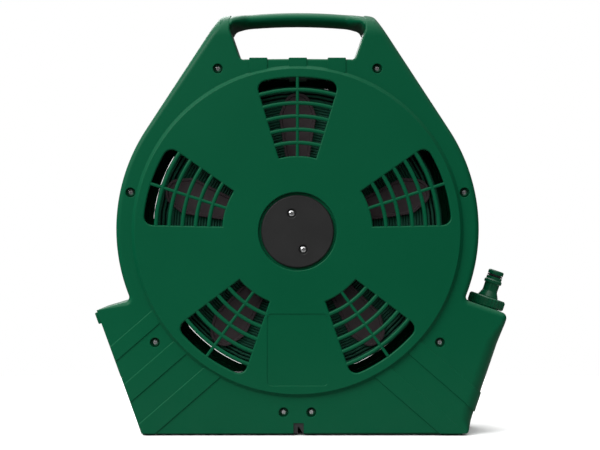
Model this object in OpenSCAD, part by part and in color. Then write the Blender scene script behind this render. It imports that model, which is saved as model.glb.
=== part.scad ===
// Lay-flat garden hose reel cassette.
// Two moulded shells stand upright on a wide foot and carry a spoked drum on a water spigot.
// +X is to the right, +Y is towards the crank side, +Z is up.  The origin is on the ground,
// below the drum's axis, on the joint between the two shells.

/* [Housing] */
// Half depth of the foot and of the border, from the shell joint to the face
half_depth = 44; // [40:0.5:48]
// Height of the raised round disc over the border
disc_rise = 4; // [2:0.5:5]
// Radius of the raised round disc
disc_r = 163.5; // [162:0.5:165]
// Height of the drum's axis over the ground
hub_z = 205; // [203:0.5:207]
// Radius of the round outer edge
rim_r = 182.5; // [181:0.5:184]
// Height of the centre of the round outer edge
rim_z = 207.4; // [206:0.1:209]
// Thickness of the moulded walls
wall = 3; // [2.6:0.1:3.4]
// Slope of the straight sides that rise to the grip, from the vertical
side_lean = 33; // [31:0.5:35]
// Width of the chamfer along the housing's edges
edge_bevel = 4; // [2:0.5:4]
// Height of the housing's floor over the ground
floor_z = 1.8; // [1:0.1:3]

/* [Grip] */
// Height of the grip's highest point
grip_top = 430; // [427:0.5:433]
// Height of the grip bar's section
grip_h = 13.7; // [12:0.1:16]
// Depth of the grip bar's section
grip_d = 40; // [30:1:44]
// Radius of the long arch along the top of the grip
grip_arch_r = 585; // [560:5:620]
// Radius of the two top corners
top_corner_r = 10; // [6:0.5:12]
// Half width of the hand opening at its top
hand_w_top = 66.5; // [60:0.5:68]
// Half width of the hand opening at its bottom
hand_w_bottom = 57.5; // [54:0.5:60]
// Height of the bottom edge of the hand opening
hand_z = 378.2; // [376:0.1:381]

/* [Grilles] */
// Number of grilled windows in each disc
window_count = 5; // [5:1:5]
// Radius of the inner edge of the windows
window_r0 = 75.5; // [74:0.5:80]
// Radius of the outer edge of the windows
window_r1 = 154.25; // [150:0.25:155]
// Half angle of a window at its inner edge
window_half0 = 14.3; // [13:0.1:15]
// Half angle of a window at its outer edge
window_half1 = 15.6; // [14:0.1:16]
// Radius of a window's two outer corners
window_corner = 8.5; // [6:0.5:10]
// Distance from one curved bar to the next
bar_pitch = 13.25; // [12.8:0.05:13.5]
// Width of a curved bar
bar_w = 3.5; // [3:0.1:4]
// Width of the bar down the middle of a window
rib_w = 2.8; // [2.4:0.1:3.4]

/* [Hub] */
// Radius of the round well in the middle of each disc
well_r = 39.2; // [38:0.1:41]
// Depth of the round well
well_depth = 5.4; // [5:0.1:7]
// Radius of the black hub cap on the water side
cap_r = 36.5; // [35:0.1:37.5]
// Radius of the fixed water spigot that the drum turns on
spigot_r = 12; // [11:0.1:13]
// Radius of the drum's hollow journal on the crank side
journal_r = 22; // [20:0.5:24]
// Radial clearance of a part that turns on another
turn_gap = 0.06; // [0.03:0.01:0.1]

/* [Hose] */
// Width of the flattened hose
hose_w = 28; // [26:0.5:29]
// Thickness of the flattened hose
hose_t = 2.8; // [2.6:0.1:3]
// Radius of the drum's core
core_r = 58; // [56:0.5:62]
// Outer radius of the wound hose
coil_r = 146; // [140:0.5:147]
// Radius of the drum's spoke tips
petal_r = 142; // [138:0.5:144]

/* [Crank] */
// Length of the crank from the drum's axis to the knob's hinge
crank_len = 112; // [100:1:120]
// Length of the turning knob
knob_len = 58; // [50:1:64]
// Radius of the turning knob
knob_r = 12; // [10:0.5:13]

/* [Hidden] */
$fn = 96;

eps = 0.01;
overcut = 1;

// Colours
green = [0.02, 0.3, 0.2];
black = [0.1, 0.1, 0.1];
hose_green = [0.03, 0.16, 0.09];
steel = [0.75, 0.76, 0.78];
brass = [0.8, 0.65, 0.3];

// Depths of the faces
face_y = half_depth;
disc_y = half_depth + disc_rise;
disc_inner = disc_y - wall;
face_inner = face_y - wall;

// Outline of the foot, counter-clockwise from the left end of the floor
foot_left = 156.5;
foot_right = 171.2;
wall_left_top = [-201.6, 125.8];
wall_right_top = [212, 121.5];
shoulder_in = 150;
shoulder_slope = 0.3;
foot_outline = [[-foot_left, floor_z], [foot_right, floor_z], wall_right_top,
                [shoulder_in, wall_right_top.y + (wall_right_top.x - shoulder_in) * 0.338],
                [-shoulder_in, wall_left_top.y + (-shoulder_in - wall_left_top.x) * shoulder_slope],
                wall_left_top];
left_lean = atan((-foot_left - wall_left_top.x) / (wall_left_top.y - floor_z));
foot_len = (wall_left_top.y - floor_z) / cos(left_lean);

// Diagonal raised bands on the foot: [inner, outer] distances from a line through the origin
band_lean = 41;
bands = [[175.3, 190.9], [134.6, 153.4], [94.6, 113.6]];
band_rise = 1;

// Grip bar: half its free length, and its sweep about the centre of the arch
bar_half = 60;
grip_sweep = 13;

// The cheeks beside the hand opening round off from this height up to this half depth
crown_z = 388;
crown_y = 16;

// Ledges under the hand opening
ledge_places = [-39.3, 0.3, 39.4];
ledge_w = 18.4;

// Screws that close the housing, as [x, z]
screw_places = [[80, 368.4], [167.6, 244], [143, 93.5], [13.9, 23.4]];
boss_r = 6.5;
screw_r = 1.7;
screw_head_r = 3.3;
screw_head_h = 2.6;
recess_r = 4.9;
recess_depth = 5.5;

// Feed water: a nipple on the right shoulder, tilted square to it
inlet_tilt = 18.7;
inlet_base = [193.6, 127.9];
inlet_down = 30;
pipe_r = 9;
feed_y = -29.5;
bore_r = 5.5;
nose_r = 8.05;
collar_r = 18.5;
ring_at = 32.7;
inlet_low = inlet_base - inlet_down * [sin(inlet_tilt), cos(inlet_tilt)];
feed_angle = atan2(inlet_low.y - hub_z, inlet_low.x);
feed_len = norm([inlet_low.x, inlet_low.y - hub_z]);
feed_from = 40;
feed_to = feed_len - 24;

// Hose outlet: a mouth in the left wall
hose_z = hub_z - coil_r - 0.3 - hose_t / 2;
mouth_r = 18;
lip_half = 41.5;
leadout_from = 30;
flat_to = -124;
round_from = -134;
hose_round_r = 9;
sleeve_to = -147;
coupler_to = -171;
coupler_r = 13;
socket_r = 8.1;
roller_x = -117;
roller_r = 5;
roller_half = 19.8;
roller_dz = hose_t / 2 + 0.3 + roller_r;
pin_r = 2;

// Drum
start_y = 7;
spider_y0 = 15;
spider_t = 3;
petal_half = 9.3;
boss_pitch_r = 42;

// Crank
crank_y = disc_y + 1.5;
crank_t = 8;
hinge_z = hub_z - crank_len;
hinge_y = crank_y + crank_t + knob_r + 1;
ear_x = 9.5;
ear_t = 4;
fold_pin_r = 3;
spindle_r = 5;
knob_z = hinge_z + 14;

// Points along an arc in a plane
function arc(c, r, a0, a1, n) =
    [for (i = [0:n]) c + r * [cos(a0 + (a1 - a0) * i / n), sin(a0 + (a1 - a0) * i / n)]];

// Corner where two lines cross, each given as a point and a direction
function cross_at(p, u, q, v) =
    p + u * (((q.x - p.x) * v.y - (q.y - p.y) * v.x) / (u.x * v.y - u.y * v.x));

// A convex counter-clockwise outline with each side moved inwards by its own distance
function inset(pts, d) =
    let (n = len(pts),
         u = [for (i = [0:n - 1]) (pts[(i + 1) % n] - pts[i]) / norm(pts[(i + 1) % n] - pts[i])],
         q = [for (i = [0:n - 1]) pts[i] + d[i] * [-u[i].y, u[i].x]])
    [for (i = [0:n - 1]) cross_at(q[(i + n - 1) % n], u[(i + n - 1) % n], q[i], u[i])];

// The same distance on every side, and the same with the open left wall kept in place
function even(d) = [for (i = [0:5]) d];
function left_kept(d) = [for (i = [0:5]) i == 5 ? 0 : d];

// Top corners of the housing: tangent to the leaning side and to the long arch
arch_c = [0, grip_top - grip_arch_r];
side_n = [cos(side_lean), sin(side_lean)];
side_in = 0.15;
side_c = rim_r - side_in + rim_z * side_n.y;
function corner_c(rc) =
    let (base = side_n * (side_c - rc),
         t = [-side_n.y, side_n.x],
         w = base - arch_c,
         b = w * t,
         s = -b + sqrt(b * b - w * w + pow(grip_arch_r - rc, 2)))
    base + t * s;
corner_at = corner_c(top_corner_r);
corner_end = atan2(corner_at.y - arch_c.y, corner_at.x);

// Half of the upper outline from the round edge to the middle of the arch
function upper_half(d) = concat(
    [[0, rim_z] + (rim_r - side_in - d) * side_n],
    arc(corner_at, top_corner_r - d, side_lean, corner_end, 6),
    arc(arch_c, grip_arch_r - d, corner_end + 0.8, 90, 6));
function flip(pts) = [for (i = [len(pts) - 1:-1:0]) [-pts[i].x, pts[i].y]];
function upper_outline(d) = concat([[0, rim_z]], upper_half(d), flip(upper_half(d)));

// Extrudes a flat outline in x and z from depth y0 to depth y1
module slab(y0, y1) {
    translate([0, y1, 0]) rotate([90, 0, 0]) linear_extrude(height = y1 - y0) children();
}

// Puts a shape made along +Z on an axis along +Y
module along_y(x, y, z) {
    translate([x, y, z]) rotate([-90, 0, 0]) children();
}

// The housing's flat outline, moved inwards by d
module outline(d) {
    translate([0, rim_z]) circle(rim_r - d);
    polygon(upper_outline(d));
    polygon(inset(foot_outline, even(d)));
}

// Hand opening below the grip bar, grown by g
module hand_opening(g) {
    top_z = grip_top - grip_h;
    polygon(concat(
        [[-hand_w_bottom - g + 5, hand_z - g], [hand_w_bottom + g - 5, hand_z - g]],
        arc([hand_w_bottom - 3, hand_z + 5], 5 + g, -70, -20, 3),
        arc([hand_w_top - 9, top_z - 10.5], 7 + g, -15, 80, 5),
        arc(arch_c, grip_arch_r - grip_h + g, 85.5, 94.5, 8),
        arc([9 - hand_w_top, top_z - 10.5], 7 + g, 100, 195, 5),
        arc([3 - hand_w_bottom, hand_z + 5], 5 + g, 200, 250, 3)));
}

// Side view of one shell: the depth falls away towards the grip bar
module side_profile() {
    polygon(concat([[-80, -overcut], [overcut, -overcut], [overcut, grip_top + overcut],
                    [-crown_y, grip_top + overcut]],
                   [for (a = [90:-15:0])
                       [-crown_y - (face_y - crown_y) * cos(a), crown_z + (grip_top - crown_z) * sin(a)]],
                   [[-80, crown_z]]));
}

// Outer solid of the shell on the -Y side
module shell_block() {
    intersection() {
        union() {
            slab(-face_y + edge_bevel, 0) outline(0);
            along_y(0, -face_y, rim_z) cylinder(r1 = rim_r - edge_bevel, r2 = rim_r, h = edge_bevel);
            hull() {
                slab(-face_y, -face_y + eps) polygon(upper_outline(edge_bevel));
                slab(-face_y + edge_bevel, -face_y + edge_bevel + eps) polygon(upper_outline(0));
            }
            hull() {
                slab(-face_y, -face_y + eps)
                    polygon(inset(foot_outline, left_kept(edge_bevel)));
                slab(-face_y + edge_bevel, -face_y + edge_bevel + eps) polygon(foot_outline);
            }
        }
        translate([-250, 0, 0]) rotate([90, 0, 90])
            linear_extrude(height = 500) side_profile();
    }
    along_y(0, -disc_y, hub_z) cylinder(r1 = disc_r - 1, r2 = disc_r, h = 1);
    along_y(0, -disc_y + 1, hub_z) cylinder(r = disc_r, h = disc_rise + 1);
}

// Hollow of the shell on the -Y side
module shell_hollow() {
    difference() {
        slab(-face_inner, overcut) outline(wall);
        slab(-disc_y, overcut + 1) hand_opening(wall);
        translate([-130, -disc_y, 400]) cube([260, disc_y + 2, 40]);
    }
    along_y(0, -disc_inner, hub_z) cylinder(r = disc_r - wall, h = disc_inner - face_inner + 1);
}

// One grilled window, on the +X side of its centre
module window_shape() {
    a = window_r0 * [cos(window_half0), sin(window_half0)];
    b = window_r1 * [cos(window_half1), sin(window_half1)];
    u = (b - a) / norm(b - a);
    n = [u.y, -u.x];
    rc = window_r1 - window_corner;
    t = atan2(n.y, n.x) + acos((n * a + window_corner) / rc);
    c = rc * [cos(t), sin(t)];
    upper = concat(arc([0, 0], window_r1, 0, t, 6),
                   arc(c, window_corner, t, atan2(-n.y, -n.x), 6),
                   arc([0, 0], window_r0, window_half0, 0, 4));
    lower = [for (i = [len(upper) - 2:-1:1]) [upper[i].x, -upper[i].y]];
    polygon(concat(upper, lower));
}

// Curved bars and the middle bar of one window
module window_bars() {
    for (k = [0:4]) {
        r = 88.85 + bar_pitch * k;
        difference() {
            circle(r + bar_w / 2);
            circle(r - bar_w / 2);
        }
    }
    translate([window_r0 - 5, -rib_w / 2]) square([window_r1 - window_r0 + 10, rib_w]);
}

// All the slots of the grilles, cut right through the disc
module grille_slots() {
    along_y(0, -disc_y - 1, hub_z)
        linear_extrude(height = disc_y - disc_inner + 2)
            difference() {
                for (k = [0:window_count - 1]) rotate(-18 - 72 * k) window_shape();
                for (k = [0:window_count - 1]) rotate(-18 - 72 * k)
                    intersection() {
                        window_shape();
                        window_bars();
                    }
            }
}

// Diagonal raised bands of one foot corner, side = 1 on the right and -1 on the left
module band_strips(side) {
    for (b = bands)
        rotate(side * (90 - band_lean)) translate([side > 0 ? b[0] : -b[1], -300])
            square([b[1] - b[0], 600]);
}

module foot_bands() {
    for (side = [-1, 1])
        slab(-face_y - band_rise, -face_y + 1)
            difference() {
                intersection() {
                    band_strips(side);
                    polygon(inset(foot_outline, even(edge_bevel + 0.3)));
                    translate([side > 0 ? 0 : -260, 0]) square([260, 140]);
                }
                translate([0, hub_z]) circle(disc_r);
            }
    // The right-hand bands run on round the end wall
    slab(-face_y + edge_bevel + 6, 0)
        difference() {
            intersection() {
                band_strips(1);
                polygon(inset(foot_outline, [0, -1.2, 0, 0, 0, 0]));
                translate([150, 0]) square([80, 118]);
            }
            polygon(inset(foot_outline, [-5, 1.5, -5, 0, 0, 0]));
        }
}

// Bosses round the housing screws, on one side of the joint
module screw_bosses(y0, y1) {
    for (p = screw_places, s = [-1, 1])
        along_y(s * p[0], y0, p[1]) cylinder(r = boss_r, h = y1 - y0);
}

module screw_holes(y0, y1, r) {
    for (p = screw_places, s = [-1, 1])
        along_y(s * p[0], y0, p[1]) cylinder(r = r, h = y1 - y0);
}

// Frame of the left wall: local z runs up the wall, local x inwards
module on_left_wall() {
    translate([-foot_left, 0, floor_z]) rotate([0, -left_lean, 0]) children();
}

// Half of the grip bar: a flattened round section swept along the arch
module grip_bar() {
    translate([0, 0, arch_c.y]) rotate([90, 0, 0]) rotate(90 - grip_sweep / 2)
        rotate_extrude(angle = grip_sweep)
            polygon([for (a = [0:15:180])
                [grip_arch_r - grip_h / 2 + grip_h / 2 * sign(cos(a)) * pow(abs(cos(a)), 0.7),
                 grip_d / 2 * pow(sin(a), 0.7)]]);
}

// Half of the openings that both shells share
module shared_cuts() {
    slab(-disc_y - 1, 1) hand_opening(0);
    slab(-disc_y - 1, 1)
        translate([-bar_half, grip_top - grip_h - 6]) square([2 * bar_half, grip_h + 12]);
    on_left_wall() translate([-2, -34, 14]) cube([12, 34 + overcut, 106]);
    translate([inlet_base.x, 0, inlet_base.y]) rotate([0, inlet_tilt, 0])
        translate([0, 0, -12]) cylinder(r = 14.1, h = 30);
}

// One shell on the -Y side with a well in the middle and everything that both shells share
module shell_common() {
    difference() {
        union() {
            difference() {
                shell_block();
                shell_hollow();
            }
            along_y(0, -disc_y + 0.5, hub_z) cylinder(r = well_r + 2.4, h = well_depth + 2.5);
            foot_bands();
            screw_bosses(-face_inner - 1, 0);
            for (s = [[-156, 12], [145, 21]]) translate([s[0], -face_y + 6, 0]) cube([s[1], 24, wall]);
        }
        shared_cuts();
        grille_slots();
        along_y(0, -disc_y - 1, hub_z) cylinder(r = well_r, h = well_depth + 1);
    }
    grip_bar();
    // Three ledges under the hand opening
    for (x = ledge_places)
        translate([x - ledge_w / 2, -face_y + 1, hand_z - 4]) cube([ledge_w, face_y - 1, 5.1]);
}

module rear_shell() {
    color(green)
        difference() {
            union() {
                shell_common();
                translate([-20, -4, 0]) cube([40, 4, wall]);
            }
            screw_holes(-face_y - 2, -face_y + recess_depth, recess_r);
            screw_holes(-face_y, overcut, screw_r + 0.3);
            along_y(0, -disc_y, hub_z) cylinder(r = 9, h = 20);
            for (a = [0, 180]) rotate_hub(a - 72) along_y(19, -disc_y, 0) cylinder(r = 1.9, h = 20);
            label_pocket();
            translate([-4.1, -face_y - 1, 0]) cube([10.3, face_y - 3, 12.7]);
        }
}

// Shallow pocket for a blank label on the water side
module label_pocket() {
    slab(-disc_y - 1, -disc_y + 0.6)
        polygon(concat(arc([26.3, 118.4], 4, 0, 90, 4), arc([-26.3, 118.4], 4, 90, 180, 4),
                       arc([-26.3, 54.4], 4, 180, 270, 4), arc([26.3, 54.4], 4, 270, 360, 4)));
}

// Turns a shape about the drum's axis; its own origin is on the axis
module rotate_hub(a) {
    translate([0, 0, hub_z]) rotate([0, -a, 0]) children();
}

module front_shell() {
    color(green)
        difference() {
            union() {
                mirror([0, 1, 0]) shell_common();
                along_y(0, 36, hub_z) cylinder(r = 30, h = 10);
                translate([-20, 0, 0]) cube([40, 16, wall]);
            }
            screw_holes(-1, 30, screw_r + 0.05);
            along_y(0, 30, hub_z) cylinder(r = 26.05, h = 30);
        }
}

module housing_screws() {
    color(steel)
        for (p = screw_places, s = [-1, 1])
            along_y(s * p[0], -face_y + recess_depth - screw_head_h, p[1])
                difference() {
                    union() {
                        cylinder(r = screw_head_r, h = screw_head_h);
                        cylinder(r = screw_r, h = screw_head_h + 56);
                    }
                    for (a = [0, 90]) rotate(a) translate([-2, -0.4, -1]) cube([4, 0.8, 2.4]);
                }
}

// Black lining of the notch in the middle of the floor
module notch_liner() {
    color(black)
        slab(-face_y + 1, -4.5)
            polygon([[-4, floor_z + wall + 0.1], [-4, 12.6], [6.1, 12.6], [6.1, floor_z + 0.5],
                     [5.4, floor_z + 0.5], [1.6, 8.6], [0.2, 8.6], [0.2, floor_z + 0.5],
                     [-4, floor_z + 0.5]]);
}

module mouth_plate() {
    color(green)
        difference() {
            union() {
                on_left_wall() {
                    translate([0.1, -33.8, 14.2]) cube([3, 67.6, 105.6]);
                    translate([3.1, -37, 11]) cube([2, 74, 112]);
                    translate([-3.2, -lip_half, 118]) cube([3.15, 2 * lip_half, 12]);
                    translate([-0.2, -30, 118]) cube([1, 60, 1.6]);
                }
                translate([-180, 0, hose_z]) rotate([0, 90, 0]) cylinder(r = mouth_r + 2.5, h = 22);
            }
            translate([-190, 0, hose_z]) rotate([0, 90, 0]) cylinder(r = mouth_r, h = 40);
            on_left_wall() translate([-20, -40, 10]) cube([20.1, 80, 105]);
        }
}

module guide_bracket() {
    color(black) {
        difference() {
            for (y = [-24, 20.5]) translate([roller_x - 9, y, 7]) cube([18, 3.5, 66]);
            for (s = [-1, 1])
                along_y(roller_x, -30, hose_z + s * roller_dz) cylinder(r = pin_r, h = 60);
        }
        translate([roller_x - 12, -24, floor_z + wall]) cube([24, 48, 3]);
    }
}

module guide_pins() {
    color(steel)
        for (s = [-1, 1])
            along_y(roller_x, -25, hose_z + s * roller_dz) cylinder(r = pin_r, h = 50);
}

module guide_roller(s) {
    color(black)
        along_y(roller_x, -roller_half, hose_z + s * roller_dz)
            difference() {
                cylinder(r = roller_r, h = 2 * roller_half);
                translate([0, 0, -1]) cylinder(r = pin_r + turn_gap, h = 2 * roller_half + 2);
            }
}

module upper_roller() {
    guide_roller(1);
}

module lower_roller() {
    guide_roller(-1);
}

cap_y = -disc_y + well_depth;

module hub_cap() {
    color(black)
        difference() {
            union() {
                along_y(0, cap_y - 3.2, hub_z) cylinder(r1 = cap_r - 0.8, r2 = cap_r, h = 0.8);
                along_y(0, cap_y - 2.4, hub_z) cylinder(r = cap_r, h = 2.4);
            }
            for (a = [0, 180]) rotate_hub(a - 72) {
                along_y(19, cap_y - 4, 0) cylinder(r = 4.5, h = 2.4);
                along_y(19, cap_y - 4, 0) cylinder(r = 1.9, h = 8);
            }
        }
}

module hub_cap_screws() {
    color(steel)
        for (a = [0, 180]) rotate_hub(a - 72)
            along_y(19, cap_y - 3.2, 0)
                difference() {
                    union() {
                        cylinder(r = screw_head_r, h = 1.6);
                        cylinder(r = screw_r, h = 12.5);
                    }
                    for (t = [0, 90]) rotate(t) translate([-2, -0.4, -1]) cube([4, 0.8, 2]);
                }
}

// Fixed spigot: flange behind the well, a radial inlet stub and the journal of the drum
module water_spigot() {
    color(black)
        difference() {
            union() {
                along_y(0, -39.5, hub_z) cylinder(r = 30, h = 4);
                along_y(0, -36, hub_z) cylinder(r = 16, h = 15);
                along_y(0, -36, hub_z) cylinder(r = spigot_r, h = 40);
                rotate_hub(feed_angle) translate([0, feed_y, 0]) rotate([0, 90, 0])
                    cylinder(r = 8, h = feed_from);
                rotate_hub(feed_angle) translate([feed_from - 14, feed_y, 0]) rotate([0, 90, 0])
                    cylinder(r = 6.5, h = 30);
            }
            for (a = [0, 180]) rotate_hub(a - 72)
                along_y(19, -40, 0) cylinder(r = screw_r + 0.05, h = 10);
            rotate_hub(feed_angle) translate([0, feed_y, 0]) rotate([0, 90, 0])
                cylinder(r = 4.5, h = feed_from + 30);
            along_y(0, feed_y, hub_z) cylinder(r = bore_r, h = 40);
            for (y = [-14, -6]) along_y(0, y, hub_z) difference() {
                cylinder(r = spigot_r + 1, h = 2.6);
                cylinder(r = spigot_r - 1.8, h = 2.6);
            }
        }
}

module spigot_o_rings() {
    color(black)
        for (y = [-14, -6]) along_y(0, y + 1.3, hub_z)
            rotate_extrude() translate([spigot_r - 0.95, 0]) circle(0.85, $fn = 24);
}

module feed_hose() {
    color(black)
        rotate_hub(feed_angle) translate([feed_from, feed_y, 0]) rotate([0, 90, 0])
            difference() {
                cylinder(r = pipe_r, h = feed_to - feed_from);
                translate([0, 0, -1]) cylinder(r = 6.55, h = feed_to - feed_from + 2);
            }
}

module feed_clips() {
    color(steel)
        for (s = [feed_from + 4, feed_to - 12])
            rotate_hub(feed_angle) translate([s, feed_y, 0]) rotate([0, 90, 0])
                difference() {
                    cylinder(r = pipe_r + 0.9, h = 8);
                    translate([0, 0, -1]) cylinder(r = pipe_r + 0.05, h = 10);
                }
}

// Frame of the inlet: local z leaves the housing along the nipple
module on_inlet() {
    translate([inlet_base.x, 0, inlet_base.y]) rotate([0, inlet_tilt, 0]) children();
}

module inlet_elbow() {
    color(black)
        difference() {
            union() {
                on_inlet() translate([0, 0, -inlet_down]) cylinder(r = 9, h = inlet_down + 5);
                on_inlet() translate([0, 0, -8]) cylinder(r = 15.6, h = 3);
                on_inlet() translate([0, 0, -5.2]) cylinder(r = 13.9, h = 5);
                translate([inlet_low.x, 0, inlet_low.y]) sphere(r = 9.6);
                along_y(inlet_low.x, feed_y, inlet_low.y) cylinder(r = 9, h = -feed_y);
                translate([inlet_low.x, feed_y, inlet_low.y]) sphere(r = 9.6);
                rotate_hub(feed_angle) translate([feed_to, feed_y, 0]) rotate([0, 90, 0])
                    cylinder(r = 8, h = feed_len - feed_to);
                rotate_hub(feed_angle) translate([feed_to - 16, feed_y, 0]) rotate([0, 90, 0])
                    cylinder(r = 6.5, h = 20);
            }
            on_inlet() translate([0, 0, -inlet_down]) cylinder(r = 6.5, h = inlet_down + 6);
            along_y(inlet_low.x, feed_y, inlet_low.y) cylinder(r = bore_r, h = -feed_y);
            rotate_hub(feed_angle) translate([feed_to - 17, feed_y, 0]) rotate([0, 90, 0])
                cylinder(r = 4.5, h = feed_len - feed_to + 17);
        }
}

// Union nut with a fluted grip that holds the nipple on the shoulder
module inlet_collar() {
    color(black)
        on_inlet() difference() {
            union() {
                cylinder(r = collar_r, h = 8.3);
                for (k = [0:23]) rotate(15 * k)
                    translate([collar_r - 0.4, 0, 0.8]) cylinder(r = 1.2, h = 6.7, $fn = 24);
            }
            translate([0, 0, -1]) cylinder(r = 9.1, h = 4);
            translate([0, 0, 2]) cylinder(r = 9.9, h = 5);
            translate([0, 0, 2]) cylinder(r = 8.3, h = 8);
        }
}

module inlet_nipple() {
    color(black)
        on_inlet() difference() {
            union() {
                translate([0, 0, 5.2]) cylinder(r = 9.8, h = 1.7);
                translate([0, 0, 6]) cylinder(r = 7.2, h = 4);
                translate([0, 0, 9]) cylinder(r = 10.4, h = 1.4);
                translate([0, 0, 10.4]) cylinder(r1 = 10.4, r2 = 7.7, h = 6);
                translate([0, 0, 16]) cylinder(r = 7.7, h = 9);
                translate([0, 0, 24.6]) cylinder(r = 9.1, h = 3);
                translate([0, 0, 27.6]) cylinder(r1 = 9.1, r2 = nose_r, h = 1.2);
                translate([0, 0, 28]) cylinder(r = nose_r, h = 9.3);
                translate([0, 0, 37.3]) cylinder(r1 = nose_r, r2 = nose_r - 0.8, h = 1);
            }
            translate([0, 0, 5]) cylinder(r = bore_r, h = 40);
            translate([0, 0, ring_at - 1.2]) difference() {
                cylinder(r = 9, h = 2.4);
                cylinder(r = nose_r - 1.85, h = 2.4);
            }
        }
}

module nipple_o_ring() {
    color(black)
        on_inlet() translate([0, 0, ring_at])
            rotate_extrude() translate([nose_r - 0.95, 0]) circle(0.85, $fn = 24);
}

module inlet_washer() {
    color(black)
        on_inlet() difference() {
            translate([0, 0, 5]) cylinder(r = 9, h = 0.2);
            translate([0, 0, 4]) cylinder(r = 6.5, h = 2);
        }
}

module front_bush() {
    color(black)
        difference() {
            union() {
                along_y(0, 33.5, hub_z) cylinder(r = 32, h = 2.5);
                along_y(0, 33.5, hub_z) cylinder(r = 25.9, h = 12);
            }
            along_y(0, 30, hub_z) cylinder(r = journal_r + turn_gap, h = 20);
        }
}

// One spoke of the drum: straight sides, round tip
module petal() {
    half_tip = petal_r * sin(petal_half);
    polygon(concat([[20, -20 * tan(petal_half)]],
                   [[petal_r - half_tip, -(petal_r - half_tip) * tan(petal_half)]],
                   arc([petal_r - half_tip, 0], half_tip - 0.8, -80, 80, 8),
                   [[petal_r - half_tip, (petal_r - half_tip) * tan(petal_half)]],
                   [[20, 20 * tan(petal_half)]]));
}

// Side plate of the drum between depths y0 and y0 + spider_t
module spider_plate(y0) {
    along_y(0, y0, hub_z) linear_extrude(height = spider_t) {
        circle(core_r + 4);
        for (k = [0:4]) rotate(-18 - 72 * k) petal();
    }
}

module rear_spider() {
    color(black)
        difference() {
            union() {
                spider_plate(-spider_y0 - spider_t);
                along_y(0, -spider_y0 - spider_t, hub_z) cylinder(r = 18, h = 32);
                translate([0, start_y, hub_z + 14]) cylinder(r = 7.8, h = 13);
                for (k = [0:4]) rotate_hub(72 * k + 54)
                    along_y(boss_pitch_r, -spider_y0 - 1, 0) cylinder(r = 5, h = 15);
            }
            along_y(0, -spider_y0 - 5, hub_z) cylinder(r = spigot_r + turn_gap, h = 31);
            translate([0, start_y, hub_z]) cylinder(r = 4, h = 30);
            translate([0, start_y, hub_z + 19]) cylinder(r = 6.05, h = 20);
            for (k = [0:4]) rotate_hub(72 * k + 54)
                along_y(boss_pitch_r, -spider_y0 - 5, 0) cylinder(r = screw_r + 0.05, h = 22);
        }
}

module front_spider() {
    color(black)
        difference() {
            union() {
                spider_plate(spider_y0);
                along_y(0, spider_y0, hub_z) cylinder(r = journal_r, h = crank_y - spider_y0);
                for (k = [0:4]) rotate_hub(72 * k + 54)
                    along_y(boss_pitch_r, 0, 0) cylinder(r = 5, h = 16);
            }
            along_y(0, spider_y0 - 1, hub_z) cylinder(r = 14, h = 50);
            for (k = [0:4]) rotate_hub(72 * k + 54) {
                along_y(boss_pitch_r, -1, 0) cylinder(r = screw_r + 0.3, h = 22);
                along_y(boss_pitch_r, spider_y0 + 1, 0) cylinder(r = 3.6, h = 6);
            }
            for (k = [0:2]) rotate_hub(120 * k + 90)
                along_y(18, crank_y - 14, 0) cylinder(r = screw_r + 0.05, h = 20);
        }
}

module drum_core() {
    color(black)
        difference() {
            along_y(0, -spider_y0, hub_z) cylinder(r = core_r - 0.3, h = 2 * spider_y0);
            along_y(0, -spider_y0 - 1, hub_z) cylinder(r = core_r - 2.8, h = 2 * spider_y0 + 2);
            translate([0, start_y, hub_z]) cylinder(r = 6.05, h = 80);
        }
}

module drum_screws() {
    color(steel)
        for (k = [0:4]) rotate_hub(72 * k + 54) {
            along_y(boss_pitch_r, spider_y0 - 1 + 2.1, 0) cylinder(r = 3.2, h = 1.8);
            along_y(boss_pitch_r, -10, 0) cylinder(r = screw_r, h = spider_y0 + 11.5);
        }
}

// Pipe that carries the water from the drum's hub to the start of the hose
module start_fitting() {
    color(black)
        translate([0, start_y, hub_z + 19.1])
            difference() {
                cylinder(r = 6, h = core_r - 19.1 - 0.8);
                translate([0, 0, -1]) cylinder(r = 4, h = 60);
            }
}

module start_clamp() {
    color(steel)
        translate([0, start_y, hub_z + core_r - 9])
            difference() {
                cylinder(r = 7.2, h = 4);
                translate([0, 0, -1]) cylinder(r = 6.05, h = 6);
            }
}

module hose_coil() {
    color(hose_green)
        along_y(0, -hose_w / 2, hub_z)
            difference() {
                cylinder(r = coil_r, h = hose_w);
                translate([0, 0, -1]) cylinder(r = core_r, h = hose_w + 2);
            }
}

module crank_arm() {
    color(green)
        difference() {
            union() {
                along_y(0, crank_y, hub_z) cylinder(r = 36, h = crank_t);
                slab(crank_y, crank_y + crank_t)
                    polygon([[-17, hub_z - 20], [-14, hinge_z], [14, hinge_z], [17, hub_z - 20]]);
                along_y(0, crank_y, hinge_z) cylinder(r = 14, h = crank_t);
                for (x = [-ear_x - ear_t, ear_x]) translate([x, 0, 0]) {
                    translate([0, crank_y + crank_t - 1, hinge_z - 7])
                        cube([ear_t, hinge_y - crank_y - crank_t + 1, 14]);
                    translate([0, hinge_y, hinge_z]) rotate([0, 90, 0]) cylinder(r = 7, h = ear_t);
                }
            }
            for (k = [0:2]) rotate_hub(120 * k + 90) {
                along_y(18, crank_y - 1, 0) cylinder(r = screw_r + 0.3, h = 20);
                along_y(18, crank_y + crank_t - 3, 0) cylinder(r = 3.6, h = 6);
            }
            along_y(0, crank_y + crank_t - 3, hub_z) cylinder(r = 13, h = 6);
            translate([-20, hinge_y, hinge_z]) rotate([0, 90, 0]) cylinder(r = fold_pin_r, h = 40);
        }
}

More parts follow.
